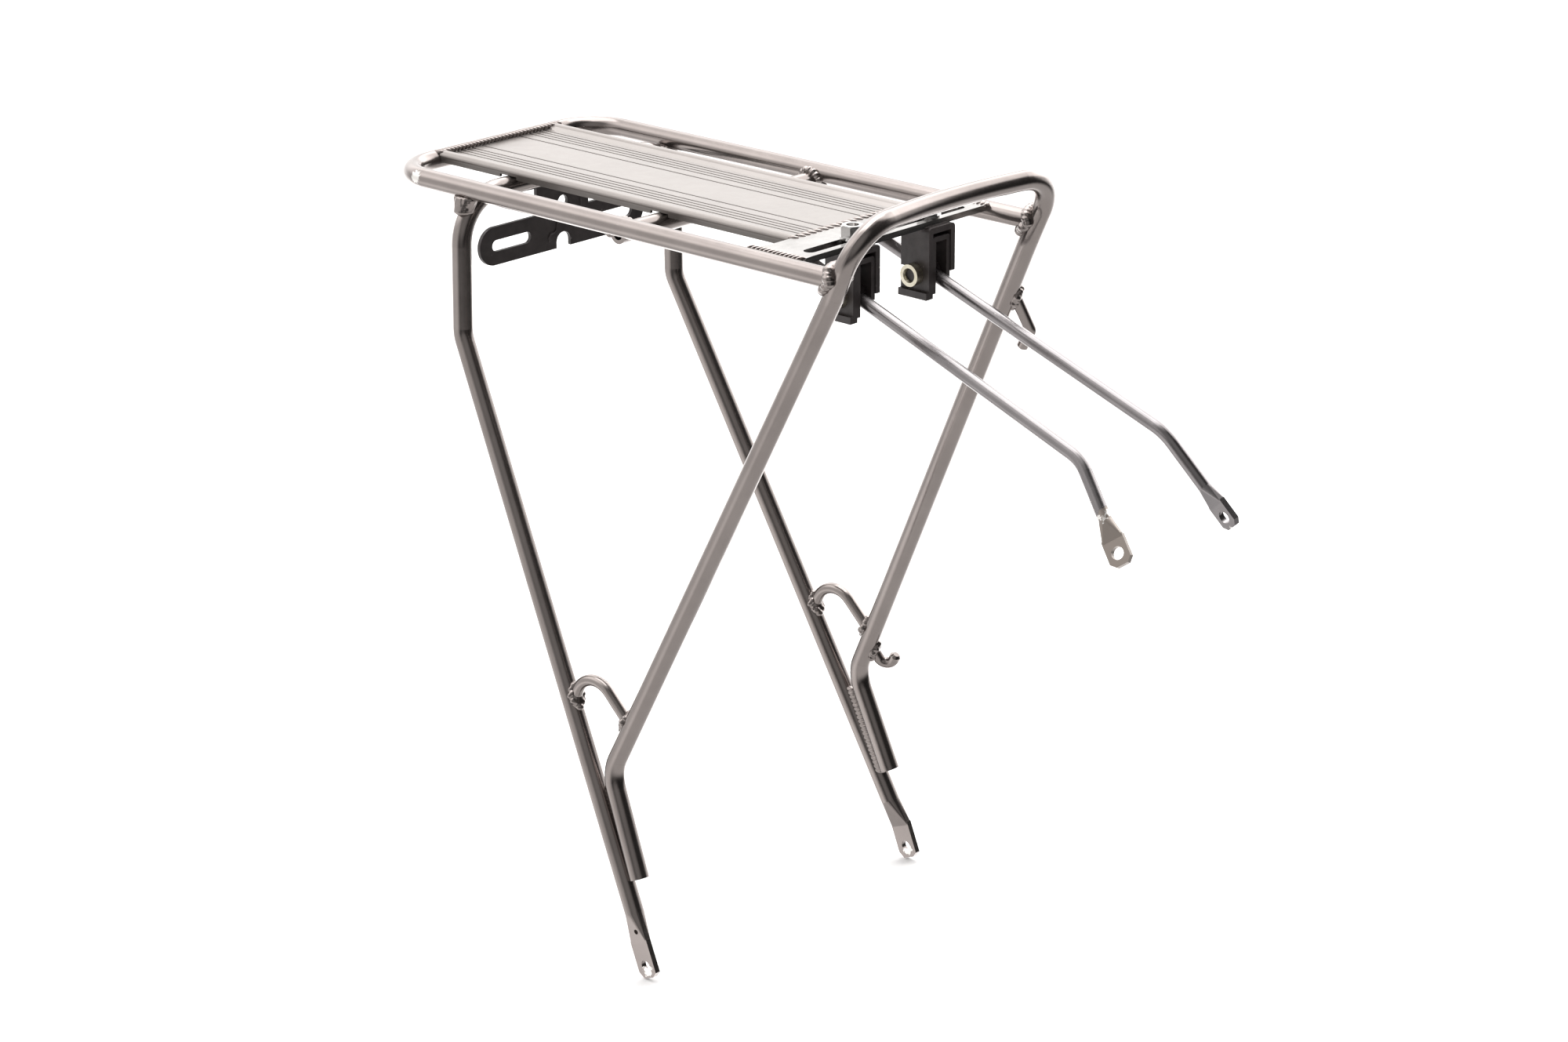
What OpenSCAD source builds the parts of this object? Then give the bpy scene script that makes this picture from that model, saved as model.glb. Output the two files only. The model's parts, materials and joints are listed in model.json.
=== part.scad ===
// Rear pannier rack for a bicycle: a welded tube frame with a grooved deck and
// two adjustable stays that run forward to the eyelets on the seat stays.
// Millimetres. +X points forward, +Y to the bicycle's left, +Z up.
// The origin is midway between the two lower eyelet holes.

/* [Frame tubes] */
// Outside diameter of the frame tubes
tube_d = 10; // [9.6:0.1:10]
// Wall thickness of the frame tubes
tube_wall = 2; // [1:0.25:3]
// Diameter of the solid rod in the arches and pump pegs
rod_d = 6; // [5:0.25:6.5]

/* [Top frame] */
// Height of the side rails above the lower eyelets
rail_z = 370; // [368:1:374]
// Distance from the centre plane to each side rail
rail_y = 71; // [70:0.5:72]
// Distance from the lower eyelets back to the rear end of the rails
rack_back = 202; // [195:1:215]
// Centreline radius of the rear corners
rail_bend = 25; // [20:1:30]
// Height of the front hoop's handle above the side rails
hoop_rise = 26; // [24:1:30]

/* [Legs] */
// Distance from the centre plane to each lower eyelet
eyelet_y = 99; // [97:0.5:101]
// Diameter of the lower eyelet holes
eyelet_d = 5.4; // [5:0.1:6.2]
// Thickness of the flattened leg ends
eyelet_t = 3; // [2.5:0.25:4]

/* [Deck] */
// Half the width of the deck over its edge beads
deck_half = 42.5; // [40:0.5:46]
// Thickness of the deck sheet
deck_t = 2; // [1.5:0.25:2.5]
// Width of the grooves in the deck
groove_w = 1.2; // [0.6:0.1:1.6]
// Length of the adjustment slot in the clamp plate
slot_length = 112.5; // [100:0.5:116]
// Width of the adjustment slot
slot_w = 6.5; // [6.3:0.1:7]

/* [Stays] */
// Diameter of the stay rods
stay_d = 6.5; // [6.3:0.05:6.5]
// Distance of the left stay from the centre plane
left_clamp_y = 31; // [24:1:44]
// Distance of the right stay from the centre plane
right_clamp_y = 23.5; // [20:0.5:44]
// Downward tilt of the left stay
left_tilt = 19.2; // [19:0.1:24]
// Downward tilt of the right stay
right_tilt = 20.4; // [19.5:0.1:24]
// How far the left stay is drawn out of its clamp
left_out = 5; // [0:0.5:35]
// How far the right stay is drawn out of its clamp
right_out = 0; // [0:0.5:35]
// Bend near the front end of each stay
stay_bend = 30; // [20:1:35]
// Diameter of the holes at the front of the stays
stay_hole = 6.2; // [5:0.1:6.5]

/* [Light bracket] */
// Distance between the centres of the two slots
bracket_pitch = 73; // [70:0.5:76]
// End-to-end length of each slot
bracket_slot = 27; // [20:0.5:30]
// Width of each slot
bracket_slot_w = 6; // [4:0.25:7]

/* [Hidden] */
$fn = 48;
gap = 0.05;
// each straight runs this far into the next bend, which is a hair thicker
lap = 0.4;
swell = 0.02;
tube_r = tube_d / 2;
rod_r = rod_d / 2;
left = 1;
right = -1;

// front hoop: cut end, lower bend, kink below the handle, corner, bowed middle
foot_x = -9;
foot_y = 94.6;
foot_z = 43.1;
bend_x = -30.2;
bend_y = 91.75;
bend_z = 94.2;
kink_x = 99.6;
kink_z = rail_z - 10;
corner_x = 116.5;
handle_z = rail_z + hoop_rise;
bow_x = 106;

// rear hoop: knee below the rails and the foot above the eyelets
knee_x = -147.5;
knee_y = 76;
knee_z = 295;
hoop_x = -147;
hoop_y = rail_y + 4;
hoop_bend = 25;
ankle_x = -6.7;
ankle_y = eyelet_y - 1.6;
ankle_z = 16.4;
eyelet_run = 13;
tube_end = 9;

// deck and cross members
deck_under = rail_z + 1;
deck_top = deck_under + deck_t;
deck_front = 47.5;
bead_r = 3;
bead_y = deck_half - bead_r;
bead_z = deck_top - 0.8;
flange_z = rail_z - 0.4;
ramp_y = 34;
groove_pitch = 3.4;
groove_first = 20.4;
groove_mid = 13.4;
cross_x = -40;
cross_z = deck_under - tube_r - gap;

// clamp plate and what slides in its slot
plate_under = rail_z + 1.3;
plate_t = 3;
plate_top = plate_under + plate_t;
plate_back = 48;
plate_front = 76.5;
slot_x = 69.5;
bolt_r = 3;
washer_t = 1.2;
nut_h = 5.5;

// stay clamps
clamp_len = 18;
clamp_w = 19;
clamp_wall = 3;
clamp_top = plate_under - 2 * gap;
inner_w = 12.9;
inner_drop = 2;
inner_wall = 2.6;
inner_len = 17;
pivot_z = rail_z - 22.5;
draw_r = 4.8;
draw_washer_t = 1.3;
running = 0.08;
near_foot = 336;
lip = 2;

// stays
stay_r = stay_d / 2;
stay_tail = 53.5;
stay_reach = 149.5;
stay_radius = 22;
eye_run = 48;
eye_end = 6;
eye_half = 5.5;
eye_t = 3;
flat_len = 17;
left_roll = 17;
right_roll = 27;

function unit(v) = v / norm(v);
function mirrored(v) = [v[0], -v[1], v[2]];
function turn_at(pts, i) = acos(unit(pts[i] - pts[i - 1]) * unit(pts[i + 1] - pts[i]));
function setback(pts, bends, i) =
    i == 0 || i == len(pts) - 1 ? 0 : bends[i - 1] * tan(turn_at(pts, i) / 2);

// centrelines
function rail_path() = [
    [kink_x + 10 / (handle_z - kink_z) * (corner_x - kink_x), -rail_y, rail_z],
    [-rack_back, -rail_y, rail_z],
    [-rack_back, rail_y, rail_z],
    [kink_x + 10 / (handle_z - kink_z) * (corner_x - kink_x), rail_y, rail_z]
];
function front_leg() = [
    [foot_x, foot_y, foot_z],
    [bend_x, bend_y, bend_z],
    [kink_x, rail_y, kink_z],
    [corner_x, rail_y, handle_z]
];
function rear_leg() = [
    [ankle_x, ankle_y, ankle_z] - ankle_way() * tube_end,
    [knee_x, knee_y, knee_z],
    [hoop_x, hoop_y, cross_z]
];
function ankle_way() = unit([ankle_x - knee_x, ankle_y - knee_y, ankle_z - knee_z]);
function eyelet_lean() = atan2(-ankle_x, ankle_z);
function reversed(pts) = [for (i = [len(pts) - 1 : -1 : 0]) mirrored(pts[i])];

// straight round bar between two points
module strut(a, b, r) {
    way = b - a;
    translate(a)
        rotate([0, acos(way[2] / norm(way)), atan2(way[1], way[0])])
            cylinder(h = norm(way), r = r);
}

// bend in a round bar at corner i of a path
module elbow(pts, i, bend, r) {
    into = unit(pts[i] - pts[i - 1]);
    out = unit(pts[i + 1] - pts[i]);
    side = unit(out - into * (into * out));
    centre = pts[i] - into * bend * tan(turn_at(pts, i) / 2) + side * bend;
    up = cross(-side, into);
    multmatrix([
        [-side[0], into[0], up[0], centre[0]],
        [-side[1], into[1], up[1], centre[1]],
        [-side[2], into[2], up[2], centre[2]],
        [0, 0, 0, 1]
    ])
        rotate_extrude(angle = turn_at(pts, i))
            translate([bend, 0])
                circle(r = r);
}

// round bar that follows a path with a bend radius at every inner corner
module bent_rod(pts, bends, r) {
    last = len(pts) - 1;
    for (i = [0 : last - 1]) {
        way = unit(pts[i + 1] - pts[i]);
        from = i == 0 ? 0 : setback(pts, bends, i) - lap;
        to = i == last - 1 ? 0 : setback(pts, bends, i + 1) - lap;
        strut(pts[i] + way * from, pts[i + 1] - way * to, r);
    }
    for (i = [1 : last - 1])
        elbow(pts, i, bends[i - 1], r + swell);
}

module bent_tube(pts, bends) {
    difference() {
        bent_rod(pts, bends, tube_r);
        bent_rod(pts, bends, tube_r - tube_wall);
    }
}

// the two side rails, cut to fit against each other tube they meet
module rail_cores() {
    for (side = [left, right])
        strut([-rack_back + rail_bend, side * rail_y, rail_z], [bow_x, side * rail_y, rail_z], tube_r);
}

module rail_loop() {
    color("dimgray")
        difference() {
            bent_tube(rail_path(), [rail_bend, rail_bend]);
            for (side = [left, right])
                strut([kink_x, side * rail_y, kink_z], [corner_x, side * rail_y, handle_z], tube_r + gap);
        }
}

module front_hoop() {
    color("dimgray")
        bent_tube(
            concat(front_leg(), [[bow_x, 0, handle_z]], reversed(front_leg())),
            [20, 60, 21, 300, 21, 60, 20]
        );
}

module rear_hoop() {
    color("dimgray")
        bent_tube(
            concat(rear_leg(), reversed(rear_leg())),
            [15, hoop_bend, hoop_bend, 15]
        );
}

// flattened end of one rear leg with its bolt hole and the drain hole above it
module leg_eyelet(side) {
    ankle = [ankle_x, ankle_y, ankle_z] - ankle_way() * tube_end;
    color("dimgray")
        scale([1, side, 1])
            difference() {
                union() {
                    translate([0, eyelet_y, 0])
                        rotate([90, 0, 0])
                            rotate(eyelet_lean())
                                linear_extrude(eyelet_t, center = true)
                                    polygon([
                                        [-6, -3], [-3.5, -6.5], [3, -6.5], [6, -4.5],
                                        [6, eyelet_run], [-6, eyelet_run]
                                    ]);
                    hull() {
                        translate(ankle)
                            rotate([0, acos(ankle_way()[2]), atan2(ankle_way()[1], ankle_way()[0])])
                                cylinder(h = 0.4, r = tube_r, $fn = 32);
                        translate([0, eyelet_y, 0])
                            rotate([0, -eyelet_lean(), 0])
                                translate([-5.9, 0.05 - eyelet_t / 2, eyelet_run - 2])
                                    cube([11.8, eyelet_t - 0.1, 0.4]);
                    }
                }
                translate([0, eyelet_y, 0])
                    rotate([90, 0, 0])
                        cylinder(h = 20, d = eyelet_d, center = true);
                translate([ankle_x * 0.85, eyelet_y + 5, ankle_z + 0.5])
                    rotate([90, 0, 0])
                        cylinder(h = 4.5, d = 2.6);
            }
}

module leg_eyelet_left() {
    leg_eyelet(left);
}

module leg_eyelet_right() {
    leg_eyelet(right);
}

// cross member under the deck
module cross_tube() {
    color("dimgray")
        difference() {
            strut([cross_x, -rail_y, cross_z], [cross_x, rail_y, cross_z], tube_r);
            strut([cross_x, -rail_y, cross_z], [cross_x, rail_y, cross_z], tube_r - tube_wall);
            rail_cores();
        }
}

// deck in cross section, y across and z up, before the grooves
module deck_section() {
    inner_y = bead_y - 1.3;
    inner_z = bead_z + 2.3;
    difference() {
        union() {
            polygon([
                [-bead_y, deck_under], [bead_y, deck_under], [bead_y, bead_z], [inner_y, inner_z],
                [ramp_y, deck_top], [-ramp_y, deck_top], [-inner_y, inner_z], [-bead_y, bead_z]
            ]);
            for (side = [left, right])
                translate([side * bead_y, bead_z]) {
                    circle(r = bead_r);
                    translate([0.05 - bead_r, flange_z - bead_z])
                        square([2 * bead_r - 0.1, bead_z - flange_z]);
                }
        }
        for (side = [left, right])
            translate([side * bead_y - 1.5, flange_z - 1])
                square([3, 3]);
    }
}

module deck_plate() {
    deck_back = 4 - rack_back;
    color("darkgray")
        difference() {
            translate([deck_back, 0, 0])
                rotate([90, 0, 90])
                    linear_extrude(deck_front - deck_back)
                        difference() {
                            deck_section();
                            for (side = [left, right]) {
                                translate([side * groove_mid, deck_top])
                                    circle(d = groove_w);
                                for (i = [0 : 3])
                                    translate([side * (groove_first + i * groove_pitch), deck_top])
                                        circle(d = groove_w);
                            }
                        }
            strut([-rack_back, -rail_y, rail_z], [-rack_back, rail_y, rail_z], tube_r + gap);
            for (x = [cross_x, hoop_x])
                for (side = [left, right])
                    translate([x - tube_r - 1, side * bead_y - bead_r - 0.5, flange_z - 1])
                        cube([2 * tube_r + 2, 2 * bead_r + 1, deck_under - flange_z + 1.2]);
        }
}

// stadium shape along x, given by its full length and width
module stadium(length, width) {
    square([length - width, width], center = true);
    for (end = [-1, 1])
        translate([end * (length - width) / 2, 0])
            circle(d = width);
}

// slotted plate at the front of the deck that carries the two stay clamps
module clamp_plate() {
    color("silver")
        difference() {
            translate([0, 0, plate_under])
                linear_extrude(plate_t)
                    difference() {
                        polygon([
                            [plate_back, -rail_y + 12], [plate_back - 4, -rail_y + 5], [plate_back - 4, -rail_y],
                            [plate_front + 1, -rail_y], [plate_front, -rail_y + 12],
                            [plate_front, rail_y], [plate_back, rail_y]
                        ]);
                        translate([slot_x, 0])
                            rotate(90)
                                stadium(slot_length, slot_w);
                    }
            rail_cores();
        }
}

// rod arch between the two legs of one side
module arch(side) {
    flank = 89.1;
    color("dimgray")
        scale([1, side, 1])
            difference() {
                bent_rod(
                    [[-60, flank, 121], [-48, flank, 148.5], [-18, flank, 120]],
                    [14],
                    rod_r
                );
                strut(rear_leg()[0], rear_leg()[1], tube_r + gap);
                strut(front_leg()[1], front_leg()[2], tube_r + gap);
            }
}

module arch_left() {
    arch(left);
}

module arch_right() {
    arch(right);
}

// peg that holds one end of a pump: it leaves the leg, then turns along it
module pump_peg(root, bend, tip) {
    color("dimgray")
        difference() {
            union() {
                way = unit(tip - bend);
                bent_rod([root, bend, tip], [4.5], rod_r);
                translate(tip - way * lap)
                    rotate([0, acos(way[2]), atan2(way[1], way[0])])
                        cylinder(h = 1.5 + lap, r1 = rod_r - swell, r2 = rod_r - 1.4);
            }
            strut(front_leg()[1], front_leg()[2], tube_r + gap);
        }
}

module pump_peg_lower() {
    pump_peg([-20.5, 90.2, 114], [-14.6, 98.6, 96.5], [-8.8, 98.2, 106.6]);
}

module pump_peg_upper() {
    pump_peg([86.9, 73, 333.9], [90.2, 85, 309], [84.9, 85.4, 300]);
}

// plate behind the rear hoop with two slots for a lamp or reflector
module light_bracket() {
    plate = 2;
    face = hoop_x - tube_r - gap;
    arm_z = rail_z - 35.5;
    arm_half = bracket_pitch / 2 + 12;
    color("black")
        union() {
            translate([face - plate, 0, arm_z])
                rotate([90, 0, 90])
                    linear_extrude(plate)
                        difference() {
                            union() {
                                square([2 * arm_half, 20], center = true);
                                for (end = [-1, 1])
                                    translate([end * arm_half, 0])
                                        circle(r = 10);
                                translate([-18.3, 0])
                                    square([36.6, deck_under - gap - arm_z]);
                            }
                            for (end = [-1, 1])
                                translate([end * bracket_pitch / 2, 0])
                                    stadium(bracket_slot, bracket_slot_w);
                            translate([0, 14])
                                circle(d = 7);
                            translate([0, -7])
                                circle(r = 5);
                            translate([-5, -12])
                                square([10, 5]);
                        }
            translate([face - 14, -18.3, deck_under - gap - plate])
                cube([14, 36.6, plate]);
        }
}

// rivets that hold the bracket's flange to the deck
module bracket_rivets() {
    color("black")
        for (end = [-1, 1])
            translate([hoop_x - tube_r - 8, end * 10, deck_under - 2 * gap - 2])
                rotate([180, 0, 0])
                    intersection() {
                        translate([0, 0, -1.5])
                            sphere(r = 3);
                        cylinder(h = 3, r = 4);
                    }
}

// what rides on top of the clamp plate: washer and nut
module slot_washer(y) {
    color("silver")
        translate([slot_x, y, plate_top + gap])
            difference() {
                cylinder(h = washer_t, r = 6.2);
                translate([0, 0, -1])
                    cylinder(h = washer_t + 2, r = bolt_r + running);
            }
}

module slot_nut(y) {
    color("silver")
        translate([slot_x, y, plate_top + 2 * gap + washer_t])
            difference() {
                intersection() {
                    cylinder(h = nut_h, d = 10 / cos(30), $fn = 6);
                    cylinder(h = nut_h, r1 = 9, r2 = 5.2);
                }
                translate([0, 0, -1])
                    cylinder(h = nut_h + 2, r = bolt_r + gap);
            }
}

module slot_washer_left() {
    slot_washer(left_clamp_y);
}

module slot_washer_right() {
    slot_washer(-right_clamp_y);
}

module slot_nut_left() {
    slot_nut(left_clamp_y);
}

module slot_nut_right() {
    slot_nut(-right_clamp_y);
}

// upside-down U section along x: half width, wall, top, bottoms of the +y wall and the -y wall
module channel_section(half, wall, top, far_z, near_z) {
    corner = 2;
    inside = half - wall;
    difference() {
        union() {
            translate([-half, near_z])
                square([2 * half, top - corner - near_z]);
            translate([corner - half, near_z])
                square([2 * (half - corner), top - near_z]);
            for (end = [-1, 1])
                translate([end * (half - corner), top - corner])
                    circle(r = corner);
        }
        translate([-inside, near_z - 1])
            square([2 * inside, top - wall - near_z + 1]);
        translate([0, near_z - 1])
            square([half + 1, far_z - near_z + 1]);
    }
}

module clamp_outer(y) {
    color("black")
        translate([slot_x, y, 0])
            difference() {
                union() {
                    translate([-clamp_len / 2, 0, 0])
                        rotate([90, 0, 90])
                            linear_extrude(clamp_len)
                                channel_section(clamp_w / 2, clamp_wall, clamp_top, pivot_z, near_foot);
                    translate([-clamp_len / 2, -clamp_w / 2 - lip, near_foot])
                        cube([clamp_len, lip + clamp_wall, 3.5]);
                }
                translate([0, 0, clamp_top - 10])
                    cylinder(h = 20, r = bolt_r + gap);
                translate([0, -clamp_w / 2 + clamp_wall + 1, pivot_z])
                    rotate([90, 0, 0])
                        cylinder(h = clamp_wall + 2, r = bolt_r + running);
                translate([-clamp_len, -clamp_w / 2 - 1, pivot_z - bolt_r - running])
                    cube([clamp_len, clamp_wall + 2, 2 * (bolt_r + running)]);
            }
}

module clamp_inner(y) {
    top = clamp_top - clamp_wall - inner_drop;
    color("black")
        translate([slot_x, y, 0])
            difference() {
                translate([-inner_len / 2, 0, 0])
                    rotate([90, 0, 90])
                        linear_extrude(inner_len)
                            channel_section(inner_w / 2, inner_wall, top, pivot_z - 3, near_foot + 2);
                translate([0, 0, top - 10])
                    cylinder(h = 20, r = bolt_r + gap);
                translate([0, 4.95, pivot_z])
                    rotate([90, 0, 0])
                        cylinder(h = 20, r = draw_r + running);
            }
}

// round-headed bolt that runs in the slot
module slot_bolt(y) {
    head_h = 4;
    head_top = clamp_top - clamp_wall - inner_drop - inner_wall - gap;
    color("silver")
        translate([slot_x, y, head_top - head_h]) {
            cylinder(h = head_h, r = inner_w / 2 - inner_wall - 0.25);
            cylinder(h = plate_top + washer_t + nut_h - head_top + 2.5, r = bolt_r);
        }
}

// drawbolt: a cross-drilled drum that grips the rod, and its threaded shank
module draw_bolt(y, tilt) {
    color("silver")
        translate([slot_x, y, pivot_z])
            difference() {
                rotate([90, 0, 0]) {
                    translate([0, 0, -4.9])
                        cylinder(h = 11.2, r = draw_r);
                    cylinder(h = 12.2, r = bolt_r);
                }
                rotate([0, tilt + 90, 0])
                    cylinder(h = 20, r = stay_r + gap, center = true);
            }
}

module draw_washer(y) {
    color("silver")
        translate([slot_x, y - clamp_w / 2 - gap, pivot_z])
            rotate([90, 0, 0])
                difference() {
                    cylinder(h = draw_washer_t, r = 5.4);
                    translate([0, 0, -1])
                        cylinder(h = 4, r = bolt_r + running);
                    rotate(-60)
                        translate([0, -0.6, -1])
                            cube([8, 1.2, 4]);
                }
}

module draw_nut(y) {
    color("silver")
        translate([slot_x, y - clamp_w / 2 - draw_washer_t - 2 * gap, pivot_z])
            rotate([90, 0, 0])
                difference() {
                    cylinder(h = 3.2, r = 5.5);
                    translate([0, 0, -1])
                        cylinder(h = 6, r = bolt_r + gap);
                    translate([0, 0, 2])
                        cylinder(h = 2, r1 = bolt_r + gap, r2 = 4);
                }
}

// puts a shape drawn along +x, with its flat facing +z, on the bent end of a stay;
// the flat then lies in the plane of the bend
module stay_end(y, tilt, roll, drawn_out) {
    translate([slot_x, y, pivot_z])
        rotate([0, tilt, 0])
            translate([stay_reach + drawn_out, 0, 0])
                rotate([roll, 0, 0])
                    rotate([0, stay_bend, 0])
                        rotate([90, 0, 0])
                            children();
}

// stay: straight rod with one bend
module stay(y, tilt, roll, drawn_out) {
    bend_at = [stay_reach + drawn_out, 0, 0];
    color("gray")
        translate([slot_x, y, pivot_z])
            rotate([0, tilt, 0])
                bent_rod(
                    [
                        [drawn_out - stay_tail, 0, 0],
                        bend_at,
                        bend_at + (eye_run - flat_len - gap) * [
                            cos(stay_bend),
                            sin(roll) * sin(stay_bend),
                            -cos(roll) * sin(stay_bend)
                        ]
                    ],
                    [stay_radius],
                    stay_r
                );
}

// flattened end of a stay, with its bolt hole
module stay_eye(y, tilt, roll, drawn_out) {
    flat_at = eye_run - flat_len;
    color("gray")
        stay_end(y, tilt, roll, drawn_out)
            difference() {
                union() {
                    hull() {
                        translate([flat_at, 0, 0])
                            rotate([0, 90, 0])
                                cylinder(h = 0.4, r = stay_r, $fn = 32);
                        translate([flat_at + 10.5, 0.1 - eye_half, 0.05 - eye_t / 2])
                            cube([0.4, 2 * eye_half - 0.2, eye_t - 0.1]);
                    }
                    translate([0, 0, -eye_t / 2])
                        linear_extrude(eye_t)
                            polygon([
                                [flat_at + 9, -eye_half],
                                [eye_run + 3.5, -eye_half],
                                [eye_run + eye_end, -eye_half + 2.5],
                                [eye_run + eye_end, eye_half - 2.5],
                                [eye_run + 3.5, eye_half],
                                [flat_at + 9, eye_half]
                            ]);
                }
                translate([eye_run, 0, 0])
                    cylinder(h = 10, d = stay_hole, center = true);
            }
}

module clamp_outer_left() {
    clamp_outer(left_clamp_y);
}

module clamp_outer_right() {
    clamp_outer(-right_clamp_y);
}

module clamp_inner_left() {
    clamp_inner(left_clamp_y);
}

module clamp_inner_right() {
    clamp_inner(-right_clamp_y);
}

module slot_bolt_left() {
    slot_bolt(left_clamp_y);
}

module slot_bolt_right() {
    slot_bolt(-right_clamp_y);
}

module draw_bolt_left() {
    draw_bolt(left_clamp_y, left_tilt);
}

module draw_bolt_right() {
    draw_bolt(-right_clamp_y, right_tilt);
}

module draw_washer_left() {
    draw_washer(left_clamp_y);
}

module draw_washer_right() {
    draw_washer(-right_clamp_y);
}

module draw_nut_left() {
    draw_nut(left_clamp_y);
}

module draw_nut_right() {
    draw_nut(-right_clamp_y);
}

module stay_left() {
    stay(left_clamp_y, left_tilt, left_roll, left_out);
}

module stay_right() {
    stay(-right_clamp_y, right_tilt, -right_roll, right_out);
}

module stay_eye_left() {
    stay_eye(left_clamp_y, left_tilt, left_roll, left_out);
}

module stay_eye_right() {
    stay_eye(-right_clamp_y, right_tilt, -right_roll, right_out);
}

rail_loop();
front_hoop();
rear_hoop();
leg_eyelet_left();
leg_eyelet_right();
cross_tube();
deck_plate();
clamp_plate();
arch_left();
arch_right();
pump_peg_lower();
pump_peg_upper();
light_bracket();
bracket_rivets();
slot_washer_left();
slot_nut_left();
clamp_outer_left();
clamp_inner_left();
slot_bolt_left();
draw_bolt_left();
draw_washer_left();
draw_nut_left();
stay_left();
stay_eye_left();
slot_washer_right();
slot_nut_right();
clamp_outer_right();
clamp_inner_right();
slot_bolt_right();
draw_bolt_right();
draw_washer_right();
draw_nut_right();
stay_right();
stay_eye_right();
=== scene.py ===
import json
import math
import random

import bpy
import bmesh
from mathutils import Matrix, Vector


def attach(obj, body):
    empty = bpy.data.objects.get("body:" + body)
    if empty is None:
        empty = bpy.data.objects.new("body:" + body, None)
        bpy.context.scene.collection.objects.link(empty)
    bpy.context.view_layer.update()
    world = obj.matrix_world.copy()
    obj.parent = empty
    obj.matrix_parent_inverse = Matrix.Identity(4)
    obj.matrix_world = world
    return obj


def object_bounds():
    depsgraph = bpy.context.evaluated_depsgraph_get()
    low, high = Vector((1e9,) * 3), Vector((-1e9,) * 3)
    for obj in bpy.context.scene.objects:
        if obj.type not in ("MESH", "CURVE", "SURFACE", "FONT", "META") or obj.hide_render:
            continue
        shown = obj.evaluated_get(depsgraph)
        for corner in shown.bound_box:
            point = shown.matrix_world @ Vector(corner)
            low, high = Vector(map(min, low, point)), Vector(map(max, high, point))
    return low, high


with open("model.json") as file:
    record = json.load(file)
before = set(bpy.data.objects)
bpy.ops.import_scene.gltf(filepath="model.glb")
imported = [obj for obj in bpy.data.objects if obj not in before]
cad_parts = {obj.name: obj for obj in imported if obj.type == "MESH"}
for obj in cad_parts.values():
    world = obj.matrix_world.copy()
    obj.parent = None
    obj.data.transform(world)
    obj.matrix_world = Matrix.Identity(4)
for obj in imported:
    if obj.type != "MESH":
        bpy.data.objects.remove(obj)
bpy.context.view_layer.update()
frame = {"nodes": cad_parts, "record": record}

# lengths and places are in millimetres unless a comment says metres, and angles are in degrees
MM = 0.001
SEED = 7
SIDES = {"left": 1, "right": -1}

# ---------------------------------------------------------------- centre lines of the frame, left side
TUBE_R, ROD_R = 5.0, 3.0
# side rail, the bar across its back end and the cross tube under the deck
RAIL_Y, RAIL_Z = 71.0, 370.0
RACK_BACK = -202.0
CROSS_X, CROSS_Z = -40.0, 365.95
# front hoop: the kink below its handle, the handle's corner, the lower bend and the cut end
KINK = Vector((99.6, RAIL_Y, 360.0))
CORNER = Vector((116.5, RAIL_Y, 396.0))
FRONT_BEND = Vector((-30.2, 91.75, 94.2))
FRONT_FOOT = Vector((-9.0, 94.6, 43.1))
# rear hoop: where it passes under the rail, the knee below that and the ankle above the eyelet
HOOP_X = -147.0
KNEE = Vector((-147.5, 76.0, 295.0))
ANKLE = Vector((-6.7, 97.4, 16.4))
# rod arch between the legs: its top and the ends that meet the rear leg and the front leg
ARCH_TOP = Vector((-48, 89.1, 148.5))
ARCH_BACK = Vector((-60, 89.1, 121))
ARCH_FRONT = Vector((-18, 89.1, 120))
# pump pegs on the left front leg: the root of each and its bend
PEGS = {
    "lower": (Vector((-20.5, 90.2, 114)), Vector((-14.6, 98.6, 96.5))),
    "upper": (Vector((86.9, 73, 333.9)), Vector((90.2, 85, 309))),
}
# lamp bracket: the plane of its face, and the creases pressed into it as (y, z) points
BRACKET_X = -152.05
BRACKET_CREASES = {
    "hook": [(-4.5, 337.7), (-5.0, 334.7), (-6.9, 333.3), (-9.5, 333.1), (-10.5, 331.4), (-10.1, 329.3)],
    "fold": [(12.5, 352.0), (12.8, 340.5)],
}

# ---------------------------------------------------------------- camera
CAMERA_PLACE = Vector((1263.18, -1352.98, 863.66))
CAMERA_YAW, CAMERA_PITCH, CAMERA_ROLL = 42.9746, -19.4445, -0.2361
CAMERA_LENS, CAMERA_SENSOR = 89.893, 36


def make_camera():
    yaw, pitch, roll = (math.radians(angle) for angle in (CAMERA_YAW, CAMERA_PITCH, CAMERA_ROLL))
    forward = Vector((-math.sin(yaw) * math.cos(pitch), math.cos(yaw) * math.cos(pitch), math.sin(pitch)))
    level = Vector((math.cos(yaw), math.sin(yaw), 0))
    above = level.cross(forward)
    right = level * math.cos(roll) + above * math.sin(roll)
    up = above * math.cos(roll) - level * math.sin(roll)
    turn = Matrix((right, up, -forward)).transposed()
    data = bpy.data.cameras.new("camera")
    data.lens = CAMERA_LENS
    data.sensor_width = CAMERA_SENSOR
    data.clip_start, data.clip_end = 0.05, 50  # metres
    camera = bpy.data.objects.new("camera", data)
    camera.matrix_world = Matrix.Translation(CAMERA_PLACE * MM) @ turn.to_4x4()
    bpy.context.scene.collection.objects.link(camera)
    bpy.context.scene.camera = camera


make_camera()

# ---------------------------------------------------------------- node helpers
# the colour sockets of a Mix node
MIX_A, MIX_B, MIX_RESULT = 6, 7, 2


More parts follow.
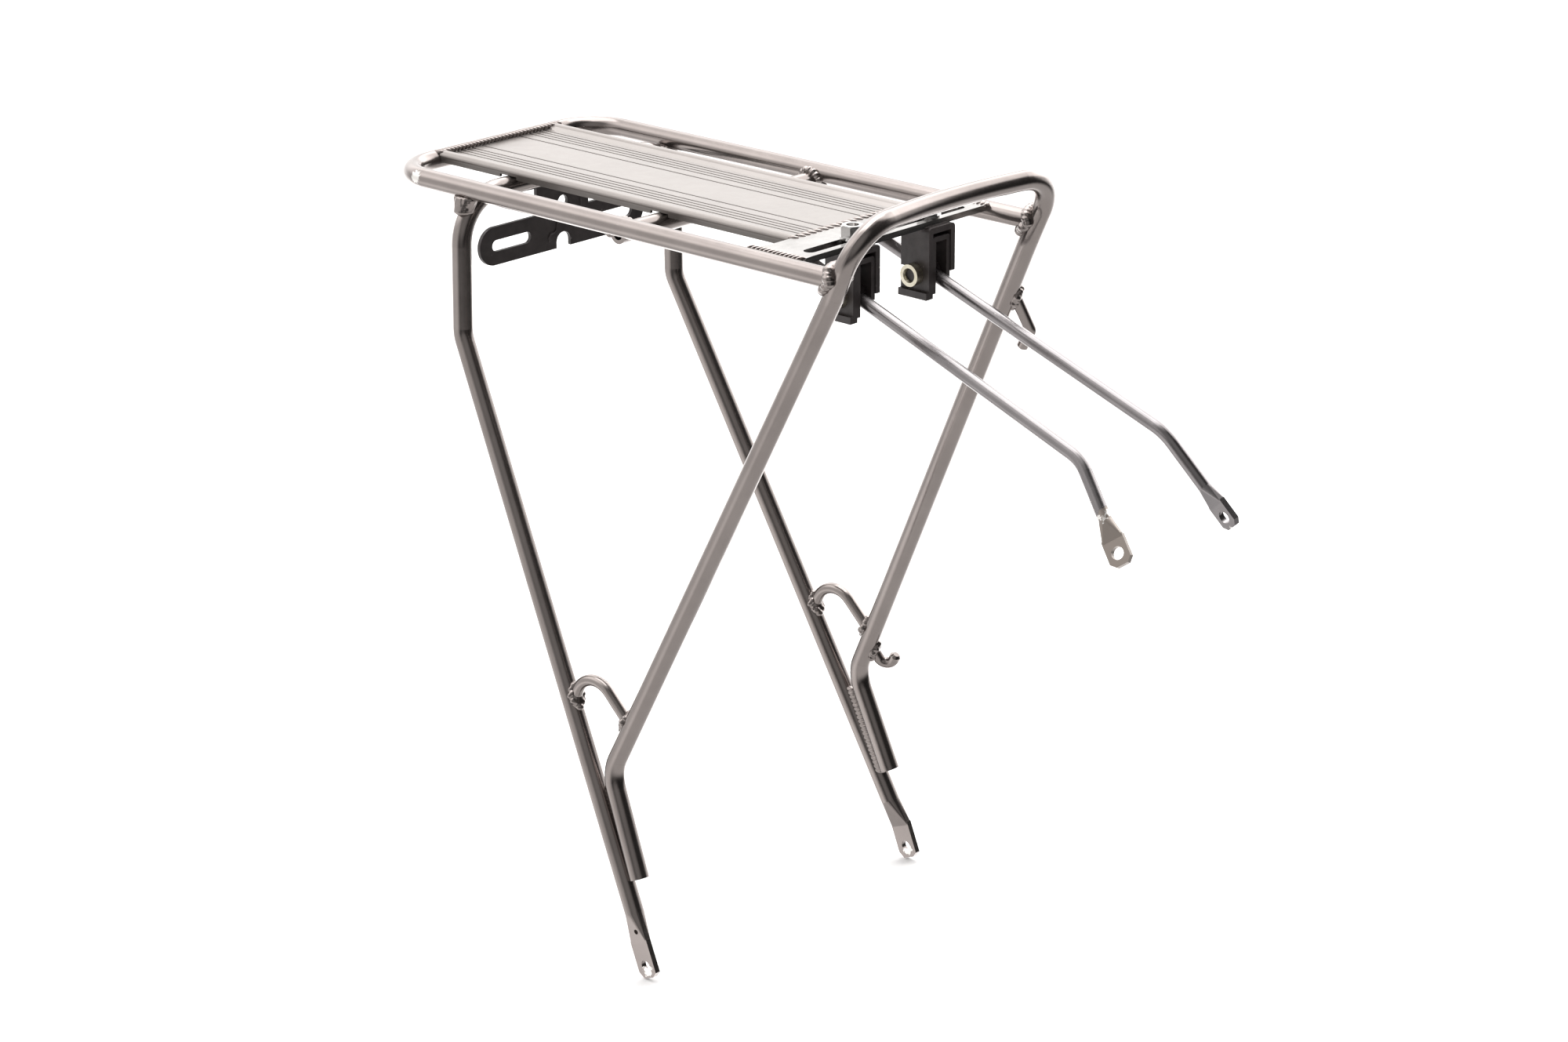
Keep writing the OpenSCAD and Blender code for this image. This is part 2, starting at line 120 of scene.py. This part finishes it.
class Nodes:
    """The node tree of a material or world, with short names for the nodes used here."""

    def __init__(self, owner, shader="Principled BSDF", coordinates="Object"):
        owner.use_nodes = True
        self.owner = owner
        self.tree = owner.node_tree
        self.shader = self.tree.nodes[shader]
        self.place = self.new("TexCoord").outputs[coordinates]

    def give(self, socket, value):
        """Links a socket to another node's output, or sets it to a number, vector or colour."""
        if isinstance(value, bpy.types.NodeSocket):
            self.tree.links.new(value, socket)
        elif socket.type == "RGBA":
            socket.default_value = (*value, 1)
        else:
            socket.default_value = value

    def new(self, kind, **values):
        """A new node, with values for its named sockets: From_Min stands for the socket From Min."""
        node = self.tree.nodes.new("ShaderNode" + kind)
        for name, value in values.items():
            self.give(node.inputs[name.replace("_", " ")], value)
        return node

    def set(self, **values):
        """Values for the named sockets of the shader."""
        for name, value in values.items():
            self.give(self.shader.inputs[name.replace("_", " ")], value)

    def noise(self, scale, detail=2.0, rough=0.5, stretch=None):
        """Noise with a scale per metre, drawn out along each axis where stretch is below 1."""
        vector = self.place
        if stretch:
            vector = self.new("Mapping", Vector=self.place, Scale=stretch).outputs["Vector"]
        node = self.new("TexNoise", Vector=vector, Scale=scale, Detail=detail, Roughness=rough)
        return node.outputs["Fac"]

    def specks(self, scale, size):
        """Small scattered dots: 1 inside a dot and 0 outside."""
        node = self.new("TexVoronoi", Vector=self.place, Scale=scale)
        return self.span(node.outputs["Distance"], size, size * 0.6)

    def span(self, value, low, high, to_low=0.0, to_high=1.0):
        """value from low..high mapped to to_low..to_high, clamped."""
        node = self.new("MapRange", Value=value, From_Min=low, From_Max=high, To_Min=to_low, To_Max=to_high)
        return node.outputs["Result"]

    def math(self, what, a, b):
        node = self.new("Math")
        node.operation = what
        self.give(node.inputs[0], a)
        self.give(node.inputs[1], b)
        return node.outputs[0]

    def mix(self, factor, a, b):
        """Colour a where the factor is 0 and colour b where it is 1."""
        node = self.new("Mix", Factor=factor)
        node.data_type = "RGBA"
        self.give(node.inputs[MIX_A], a)
        self.give(node.inputs[MIX_B], b)
        return node.outputs[MIX_RESULT]

    def near(self, point, radius):
        """1 at a point of the object, falling to 0 at the radius."""
        node = self.new("VectorMath")
        node.operation = "DISTANCE"
        self.give(node.inputs[0], self.place)
        self.give(node.inputs[1], Vector(point) * MM)
        return self.span(node.outputs["Value"], 0, radius * MM, 1, 0)

    def below(self, high, low):
        """1 under the level low and 0 over the level high."""
        node = self.new("SeparateXYZ", Vector=self.place)
        return self.span(node.outputs["Z"], high * MM, low * MM)

    def bump(self, height, depth=1.0):
        """Bumps the surface by the height, where a height of 1 is the depth."""
        node = self.new("Bump", Height=height, Distance=depth * MM)
        self.give(self.shader.inputs["Normal"], node.outputs["Normal"])


# ---------------------------------------------------------------- materials
# levels of the rim and floor of the deck's grooves, and the colour of the painted shade down in them
GROOVE_RIM, GROOVE_FLOOR, GROOVE_SHADE = 372.95, 372.6, (0.05, 0.045, 0.04)
PALE_MARK = (0.72, 0.69, 0.66)
BRIGHT, DULL = (0.80, 0.78, 0.75), (0.27, 0.235, 0.210)
# chips in the paint: place, reach, raggedness and the tone of the metal under it
TUBE_CHIPS = [
    ((-180.0, -75.3, 371.0), 6.0, 700, BRIGHT),
    ((1.5, -100.5, -2.0), 7, 420, BRIGHT),
    ((1.5, 97.5, -1.5), 6, 420, BRIGHT),
]
STAY_CHIPS = [
    ((240, -34, 262.5), 38, 200, DULL),
    ((229.0, -30.2, 274.2), 6.5, 330, BRIGHT),
    ((251, 38.5, 257), 3, 420, BRIGHT),
]


def paint(name, dark, light, rough, metallic, chips=(), grooves=False):
    """Satin metallic paint: a soft mottle, fine orange peel, pinhead marks, chips down to bare metal, and
    painted shade darkening the grooves if asked.
    """
    n = Nodes(bpy.data.materials.new(name))
    mottle = n.span(n.noise(38, 4, 0.6), 0.25, 0.75)
    colour = n.mix(mottle, dark, light)
    if grooves:
        # painted shade: the paint darkens from the grooves' rim down to their floor
        in_groove = n.below(GROOVE_RIM, GROOVE_FLOOR)
        colour = n.mix(n.math("MULTIPLY", in_groove, 0.55), colour, GROOVE_SHADE)
    marks = n.math("MULTIPLY", n.specks(230, 0.055), n.span(n.noise(24, 2), 0.60, 0.63))
    colour = n.mix(marks, colour, PALE_MARK)
    bare = marks
    for place, reach, raggedness, metal_tone in chips:
        flaking = n.math("MULTIPLY", n.span(n.noise(raggedness, 5, 0.7), 0.3, 0.7), 0.5)
        patch = n.span(n.math("ADD", n.near(place, reach), flaking), 0.72, 0.76)
        colour = n.mix(patch, colour, metal_tone)
        bare = n.math("MAXIMUM", bare, patch)
    wear = n.span(n.noise(150, 5, 0.65), 0.3, 0.75, rough - 0.03, rough + 0.05)
    roughness = n.math("ADD", wear, n.math("MULTIPLY", bare, 0.15))
    n.set(Base_Color=colour, Metallic=metallic, Roughness=roughness, Coat_Weight=0.25, Coat_Roughness=0.14)
    peel = n.math("MULTIPLY", n.noise(420, 2), 0.0035)
    n.bump(n.math("SUBTRACT", peel, n.math("MULTIPLY", bare, 0.05)))
    return n.owner


def metal(name, dark, light, rough, brush=None, stain=None):
    """Bare or plated metal, brushed along one axis if asked, and stained in spots if asked."""
    n = Nodes(bpy.data.materials.new(name))
    tone = n.span(n.noise(70, 5, 0.65), 0.3, 0.7)
    colour = n.mix(tone, dark, light)
    if stain:
        colour = n.mix(n.span(n.noise(180, 4, 0.7), 0.56, 0.68), colour, stain)
    grain = n.noise(500, 3, 0.6, brush)
    roughness = n.span(grain, 0.25, 0.75, rough * 0.7, rough * 1.35)
    n.set(Base_Color=colour, Metallic=1.0, Roughness=roughness)
    n.bump(grain, 0.012)
    return n.owner


def black_coat(name):
    """Black dip coating on pressed steel: slightly grainy, with pale rubbed spots."""
    n = Nodes(bpy.data.materials.new(name))
    tone = n.span(n.noise(120, 5, 0.7), 0.3, 0.75)
    colour = n.mix(tone, (0.032, 0.026, 0.026), (0.062, 0.051, 0.050))
    rubbed = n.math("MULTIPLY", n.specks(260, 0.12), n.span(n.noise(45, 2), 0.52, 0.58))
    colour = n.mix(rubbed, colour, (0.28, 0.26, 0.25))
    n.set(Base_Color=colour, Metallic=0.0, Roughness=n.span(n.noise(300, 3), 0.3, 0.7, 0.36, 0.52))
    n.bump(n.math("MULTIPLY", n.noise(750, 3), 0.012))
    return n.owner


BY_SLOT = {
    "tube_paint": paint("tube_paint", (0.242, 0.213, 0.202), (0.293, 0.260, 0.247),
                        rough=0.20, metallic=0.9, chips=TUBE_CHIPS),
    "deck_paint": paint("deck_paint", (0.242, 0.220, 0.207), (0.274, 0.250, 0.236),
                        rough=0.34, metallic=0.6, grooves=True),
    "stay_paint": paint("stay_paint", (0.20, 0.187, 0.190), (0.265, 0.250, 0.253),
                        rough=0.24, metallic=0.88, chips=STAY_CHIPS),
    "bright_plate": metal("bright_plate", (0.34, 0.33, 0.32), (0.47, 0.46, 0.45),
                          rough=0.2, brush=(1, 0.06, 1)),
    "black_steel": black_coat("black_steel"),
    "chrome_hardware": metal("chrome_hardware", (0.52, 0.51, 0.50), (0.68, 0.67, 0.66), rough=0.16),
    "zinc_hardware": metal("zinc_hardware", (0.62, 0.58, 0.46), (0.78, 0.75, 0.64),
                           rough=0.35, stain=(0.30, 0.25, 0.16)),
}
SLOT_OF = {part["node"]: part["material_slot"] for part in frame["record"]["subparts"]}
for node, shown in frame["nodes"].items():
    shown.data.materials.clear()
    shown.data.materials.append(BY_SLOT[SLOT_OF[node]])

# ---------------------------------------------------------------- pieces melted together out of drops
# a drop is a ball, pressed flat or drawn out: its centre, its three half sizes and its turn
UPRIGHT = Matrix.Identity(3)


def melted(name, drops, voxel, smooth):
    """One closed skin over many drops."""
    mesh = bmesh.new()
    for centre, half_sizes, turn in drops:
        stretch = Matrix.Diagonal((*[half * MM for half in half_sizes], 1))
        placed = Matrix.Translation(Vector(centre) * MM) @ turn.to_4x4() @ stretch
        bmesh.ops.create_icosphere(mesh, subdivisions=3, radius=1, matrix=placed)
    data = bpy.data.meshes.new(name + "_drops")
    mesh.to_mesh(data)
    mesh.free()
    rough = bpy.data.objects.new(name + "_drops", data)
    bpy.context.scene.collection.objects.link(rough)
    skin = rough.modifiers.new("skin", "REMESH")
    skin.mode = "VOXEL"
    skin.voxel_size = voxel * MM
    soft = rough.modifiers.new("soft", "SMOOTH")
    soft.factor = 0.5
    soft.iterations = smooth
    bpy.context.view_layer.update()
    done = bpy.data.meshes.new_from_object(rough.evaluated_get(bpy.context.evaluated_depsgraph_get()))
    bpy.data.objects.remove(rough)
    done.name = name
    obj = bpy.data.objects.new(name, done)
    bpy.context.scene.collection.objects.link(obj)
    return obj


def add_piece(name, drops, voxel=0.35, smooth=5, slot="tube_paint"):
    """A piece of the frame body, made of drops."""
    obj = melted(name, drops, voxel, smooth)
    obj.data.materials.clear()
    obj.data.materials.append(BY_SLOT[slot])
    for face in obj.data.polygons:
        face.use_smooth = True
    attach(obj, "frame")


def flip(point, side):
    """A point or direction of the left side, or its mirror image on the right."""
    return Vector((point[0], point[1] * side, point[2]))


def spread(count, low, high):
    """Evenly spaced values from low to high."""
    return [low + (high - low) * i / (count - 1) for i in range(count)]


def around(chance, steps, scatter):
    """Angles in even steps round a circle, each moved on by up to scatter of a step."""
    for i in range(steps):
        yield 2 * math.pi * (i + scatter * chance.random()) / steps


def frame_of(way):
    """A turn whose z axis points along way."""
    return way.to_track_quat("Z", "X").to_matrix()


# ---------------------------------------------------------------- drops of the welds and creases
# a bar is two points on the centre line of one of the frame's tubes; chance is the source of random numbers
def hit(start, way, bar):
    """Where the line from start along way first meets the bar's tube, or None."""
    near_end, far_end = bar
    axis = (far_end - near_end).normalized()
    across = way - axis * way.dot(axis)
    off = (start - near_end) - axis * (start - near_end).dot(axis)
    qa, qb, qc = across.dot(across), 2 * across.dot(off), off.dot(off) - TUBE_R * TUBE_R
    inside = qb * qb - 4 * qa * qc
    if inside < 0 or qa < 1e-9:
        return None
    return start + way * ((-qb - math.sqrt(inside)) / (2 * qa))


def joint_ring(chance, start, way, radius, bar, bead, steps, push=0.3):
    """Beads along the seam where a rod or tube from start along way runs into the bar's tube."""
    way = way.normalized()
    turn = frame_of(way)
    side, up = Vector(turn.col[0]), Vector(turn.col[1])
    drops = []
    for angle in around(chance, steps, scatter=0.25):
        out = side * math.cos(angle) + up * math.sin(angle)
        met = hit(start + out * radius, way, bar)
        if met is None:
            continue
        size = bead * (0.85 + 0.3 * chance.random())
        centre = met + out * bead * push - way * bead * 0.25
        drops.append((centre, (size, size, size * 0.75), frame_of(way.cross(out))))
    return drops


def saddle(chance, centre, along, out, half_sizes):
    """A melted pad with a few lumps round its rim: it lies along one direction and faces out."""
    length, width, height = half_sizes
    along = along.normalized()
    out = (out - along * along.dot(out)).normalized()
    across = along.cross(out)
    turn = Matrix((along, across, out)).transposed()
    drops = [(centre, half_sizes, turn)]
    for angle in around(chance, steps=7, scatter=0.6):
        spot = centre + along * length * 0.78 * math.cos(angle) + across * width * 0.7 * math.sin(angle)
        size = min(half_sizes) * (0.38 + 0.22 * chance.random())
        drops.append((spot + out * height * 0.35, (size, size, size), turn))
    return drops


def rod_weld(chance, start, end, bar, half_sizes, sink, bead):
    """Where a rod from start to end runs into the bar's tube: a saddle sunk into it and a ring of beads."""
    way = (end - start).normalized()
    met = hit(start, way, bar)
    drops = saddle(chance, met + way * sink, bar[1] - bar[0], -way, half_sizes)
    return drops + joint_ring(chance, start, way, ROD_R, bar, bead, steps=9)


def hoop_rail_drops(chance, side):
    """The flared collar between the bend of the rear hoop and the rail above it."""
    drops = []
    for rise in spread(6, 0, 1):
        centre = Vector((HOOP_X, 72.6 - 1.2 * rise, 359.0 + 6.0 * rise))
        half_x = 3.4 + 2.0 * rise ** 1.5
        half_y = 4.2 - 0.4 * rise
        for angle in around(chance, steps=20, scatter=0.5):
            spot = centre + Vector((half_x * math.cos(angle), half_y * math.sin(angle), 0))
            size = 1.7 + 0.15 * chance.random()
            drops.append((flip(spot, side), (size, size, size), UPRIGHT))
    return drops


def seam_drops(chance, side):
    """The rippled bead that joins the doubled lower legs on the wheel side."""
    drops = []
    rear_way = (ANKLE - KNEE).normalized()
    for share in spread(21, 0, 1):
        front = FRONT_FOOT.lerp(FRONT_BEND, 0.02 + 0.84 * share)
        rear = ANKLE + rear_way * ((front - ANKLE).dot(rear_way))
        apart = (front - rear).normalized()
        inward = rear_way.cross(apart).normalized()
        if inward.y > 0:
            inward = -inward
        spot = (front + rear) / 2 + inward * (2.9 - 1.0 * share)
        slant = (rear_way * 0.5 + apart).normalized()
        across = inward.cross(slant)
        turn = Matrix((flip(slant, side), flip(across, side), flip(inward, side))).transposed()
        half_sizes = (3.4, 1.3 + 0.2 * chance.random(), 1.8 + 0.2 * chance.random())
        drops.append((flip(spot, side), half_sizes, turn))
    return drops


def crease_drops(points):
    """A low ridge on the face of the lamp bracket, along (y, z) points."""
    step = 0.5
    drops = []
    for (y, z), (next_y, next_z) in zip(points, points[1:]):
        count = math.ceil(math.hypot(next_y - y, next_z - z) / step)
        for i in range(count + 1):
            share = i / count
            spot = (BRACKET_X, y + (next_y - y) * share, z + (next_z - z) * share)
            drops.append((spot, (0.5, 0.65, 0.65), UPRIGHT))
    return drops


def deck_back_drops(chance):
    """Overlapping scales where the deck is welded to the rear bar."""
    lean = Matrix.Rotation(math.radians(-12), 3, "Y") @ Matrix.Rotation(math.radians(16), 3, "Z")
    weld_x, weld_z = RACK_BACK + 1.4, 373.9
    drops = []
    for y in spread(34, -42, 42):
        drops.append(((weld_x + 0.3 * chance.random(), y, weld_z), (4.3, 1.05, 1.7), lean))
    return drops


def deck_front_drops(chance):
    """Short stitches between the front of the deck and the clamp plate."""
    lean = Matrix.Rotation(math.radians(22), 3, "Z")
    weld_x, weld_z = 47.9, 373.8
    drops = []
    for y in spread(21, -41, 41):
        y += 0.5 * chance.random()
        drops.append(((weld_x, y, weld_z), (2.9 + 0.5 * chance.random(), 1.15, 1.5), lean))
    return drops


def plate_end_drops(chance, side):
    """Beads that join one end of the clamp plate to the rail beside it."""
    lean = Matrix.Rotation(math.radians(20 * side), 3, "Z")
    weld_y, weld_z = 66.8, 374.2
    drops = []
    for x in spread(13, 45, 76):
        drops.append(((x, side * (weld_y + 0.3 * chance.random()), weld_z), (0.95, 3.0, 1.4), lean))
    return drops


def on_rail(x, side):
    return Vector((x, RAIL_Y * side, RAIL_Z))


def add_side_welds(chance, name, side):
    """The welds that each side of the frame has."""
    hoop_bar = (flip(KINK, side), flip(CORNER, side))
    front_leg = (flip(FRONT_BEND, side), flip(KINK, side))
    rear_leg = (flip(KNEE, side), flip(ANKLE, side))
    rail = (on_rail(-190, side), on_rail(90, side))

    forward, outward = Vector((1, 0, 0)), Vector((0, side, 0))
    drops = joint_ring(chance, on_rail(70, side), forward, TUBE_R, hoop_bar, bead=3.0, steps=20)
    add_piece(f"weld_rail_front_{name}", drops, smooth=9)
    middle = Vector((CROSS_X, 0, CROSS_Z))
    drops = joint_ring(chance, middle, outward, TUBE_R, rail, bead=2.3, steps=15, push=0.35)
    add_piece(f"weld_cross_{name}", drops)
    add_piece(f"weld_hoop_rail_{name}", hoop_rail_drops(chance, side), smooth=7)

    arch_ends = (
        ("back", ARCH_BACK, rear_leg, (7.2, 4.2, 3.7)),
        ("front", ARCH_FRONT, front_leg, (7.2, 3.9, 3.5)),
    )
    for label, end, leg, half_sizes in arch_ends:
        drops = rod_weld(chance, flip(ARCH_TOP, side), flip(end, side), leg, half_sizes, sink=1.2, bead=1.9)
        add_piece(f"weld_arch_{label}_{name}", drops, smooth=8)
    add_piece(f"weld_seam_{name}", seam_drops(chance, side), voxel=0.3, smooth=2)


def add_welds_and_creases():
    chance = random.Random(SEED)
    for name, side in SIDES.items():
        add_side_welds(chance, name, side)
    for name, (root, bend) in PEGS.items():
        drops = rod_weld(chance, bend, root, (FRONT_BEND, KINK), (6.2, 4.4, 3.5), sink=1.5, bead=1.8)
        add_piece(f"weld_peg_{name}", drops, smooth=8)
    for name, points in BRACKET_CREASES.items():
        add_piece(f"bracket_crease_{name}", crease_drops(points), voxel=0.2, smooth=2, slot="black_steel")
    add_piece("weld_deck_back", deck_back_drops(chance), voxel=0.3, smooth=3)
    add_piece("weld_deck_front", deck_front_drops(chance), voxel=0.3, smooth=3)
    for name, side in SIDES.items():
        add_piece(f"weld_plate_{name}", plate_end_drops(chance, side), voxel=0.3, smooth=3)


add_welds_and_creases()

# ---------------------------------------------------------------- studio
# each panel of light: direction, where it fades out and where it is full (from that direction), strength
PANELS = [
    ((-0.50, -0.05, 0.86), 56, 26, 1.75),  # soft box above, to the left
    ((-0.62, -0.70, 0.10), 60, 22, 1.05),  # the room on the left
    ((-0.68, 0.72, -0.12), 62, 36, 1.7),   # the lit backdrop
    ((-0.02, 0.73, 0.68), 38, 24, 2.4),    # a second box above the backdrop
    ((0.16, 0.95, 0.26), 34, 12, 1.3),     # the backdrop's right edge
    ((0.00, -0.05, -1.00), 77, 55, 1.0),   # the white floor
    ((0.60, -0.69, 0.42), 42, 8, 0.40),    # the room behind the camera
]
GLOW = 0.02  # strength between the panels
LIGHT_TINT = (1.0, 0.985, 0.975)


def make_world():
    """Soft panels of light: each is a lobe round its direction, and between them it is nearly dark."""
    n = Nodes(bpy.data.worlds.new("studio"), "Background", "Generated")
    lobes = []
    for way, fades_out, full, strength in PANELS:
        dot = n.new("VectorMath")
        dot.operation = "DOT_PRODUCT"
        n.give(dot.inputs[0], n.place)
        n.give(dot.inputs[1], Vector(way).normalized())
        edge, core = math.cos(math.radians(fades_out)), math.cos(math.radians(full))
        lobe = n.new("MapRange", Value=dot.outputs["Value"], From_Min=edge, From_Max=core, To_Max=strength)
        lobe.interpolation_type = "SMOOTHSTEP"
        lobes.append(lobe.outputs["Result"])
    total = lobes[0]
    for level in (*lobes[1:], GLOW):
        total = n.math("ADD", total, level)
    n.set(Strength=total, Color=LIGHT_TINT)
    bpy.context.scene.world = n.owner


def make_floor():
    """A pale floor just under the feet. The panels of light already stand for what it reflects."""
    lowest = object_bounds()[0].z
    reach = 14  # metres
    corners = [(-reach, -reach, 0), (reach, -reach, 0), (reach, reach, 0), (-reach, reach, 0)]
    mesh = bpy.data.meshes.new("floor")
    mesh.from_pydata(corners, [], [(0, 1, 2, 3)])
    floor = bpy.data.objects.new("floor", mesh)
    floor.location.z = lowest - 0.5 * MM
    bpy.context.scene.collection.objects.link(floor)
    n = Nodes(bpy.data.materials.new("floor"))
    n.set(Base_Color=n.mix(n.noise(3, 3), (0.88, 0.88, 0.88), (0.92, 0.92, 0.92)), Roughness=0.9)
    mesh.materials.append(n.owner)
    floor.visible_glossy = False
    floor.visible_diffuse = False


def make_light():
    """One wide soft light overhead, in metres and watts, and plain colours for the picture."""
    data = bpy.data.lights.new("overhead", "AREA")
    data.shape = "SQUARE"
    data.size = 1.6
    data.energy = 22
    light = bpy.data.objects.new("overhead", data)
    light.location = (-0.55, 0.25, 2.0)
    light.visible_camera = False
    bpy.context.scene.collection.objects.link(light)
    view = bpy.context.scene.view_settings
    view.view_transform = "Standard"
    view.look = "None"
    view.exposure = 0.0
    view.gamma = 1.0


make_floor()
make_world()
make_light()
